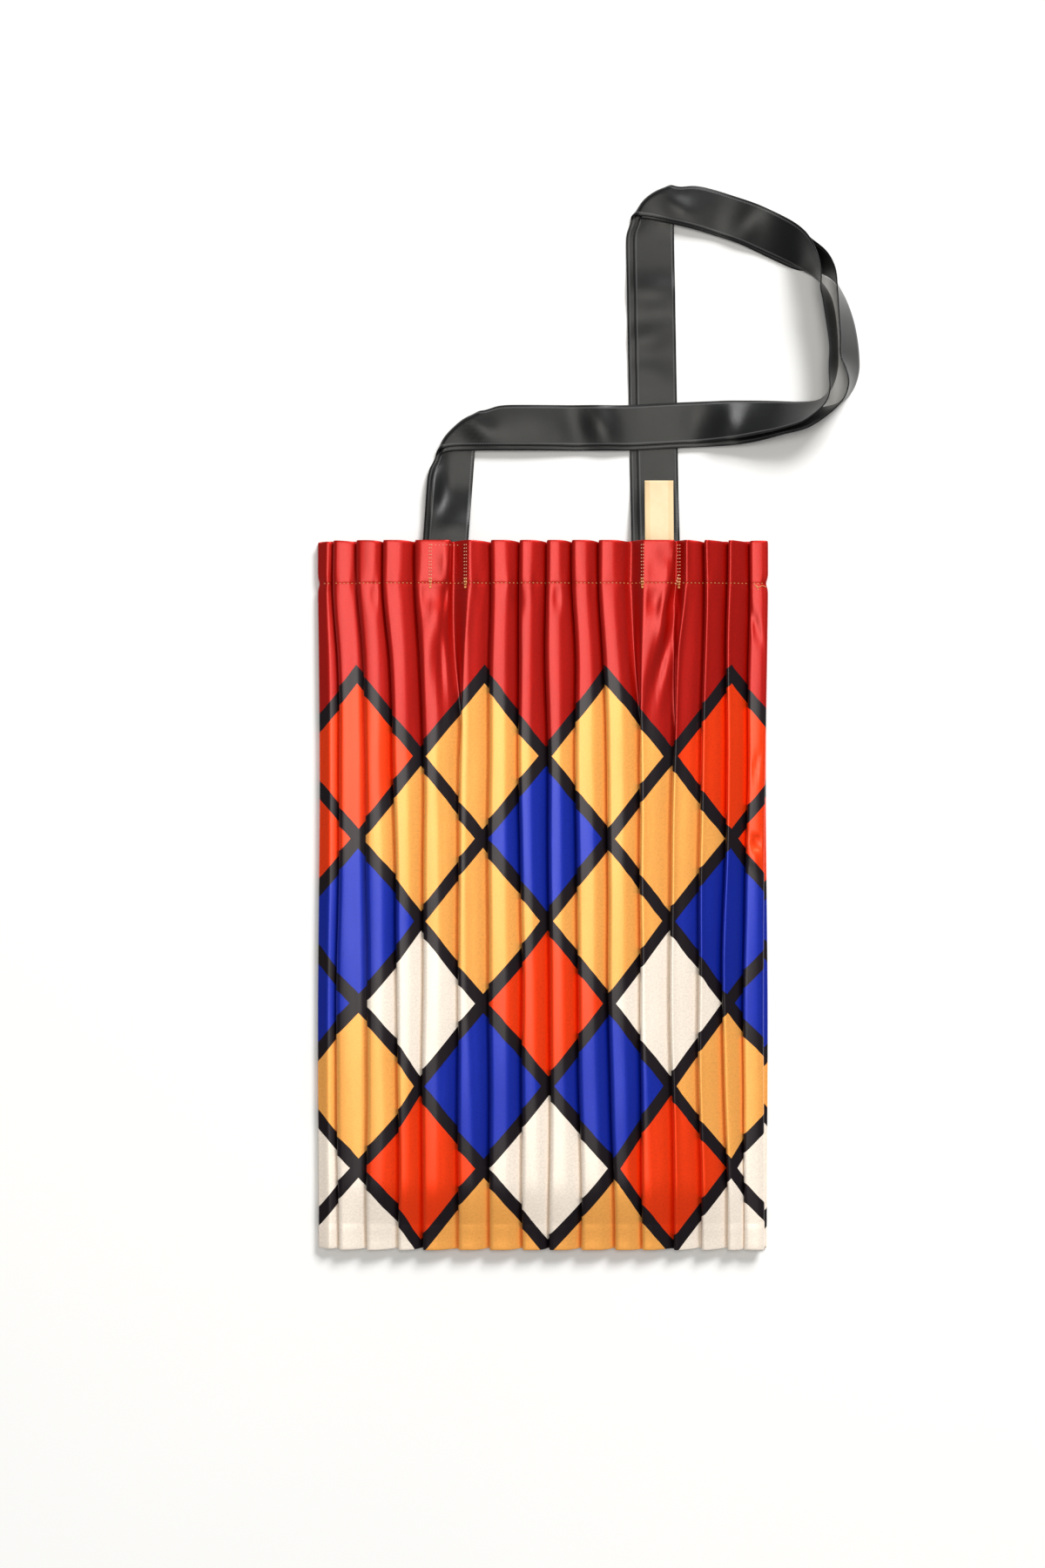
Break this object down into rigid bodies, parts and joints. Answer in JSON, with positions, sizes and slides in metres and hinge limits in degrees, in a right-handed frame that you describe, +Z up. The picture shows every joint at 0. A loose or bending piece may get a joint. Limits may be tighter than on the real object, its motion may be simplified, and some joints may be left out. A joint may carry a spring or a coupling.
{
  "type": "pleated tote bag",
  "caption": "Flat tote bag of knife-pleated satin, lying on its back, with flat ribbon handles laid together in an open loop above the mouth.",
  "frame": {"origin": "middle of the footprint of the whole object, on the floor that it lies on", "axes": "+X across the bag to the side where the handles' loop lies, +Y from the bottom seam to the mouth and the handles, +Z up from the floor, through the bag's front"},
  "size_m": [0.3304, 0.6512, 0.0266],
  "materials": {
    "front_satin": "satin",
    "back_satin": "satin",
    "front_ribbon": "satin",
    "back_ribbon": "satin",
    "label_tape": "matte"
  },
  "bodies": {
    "root": {"front_panel": "front_satin", "back_panel": "back_satin", "front_handle": "front_ribbon", "back_handle": "back_ribbon", "label_tab": "label_tape"}
  },
  "joints": []
}
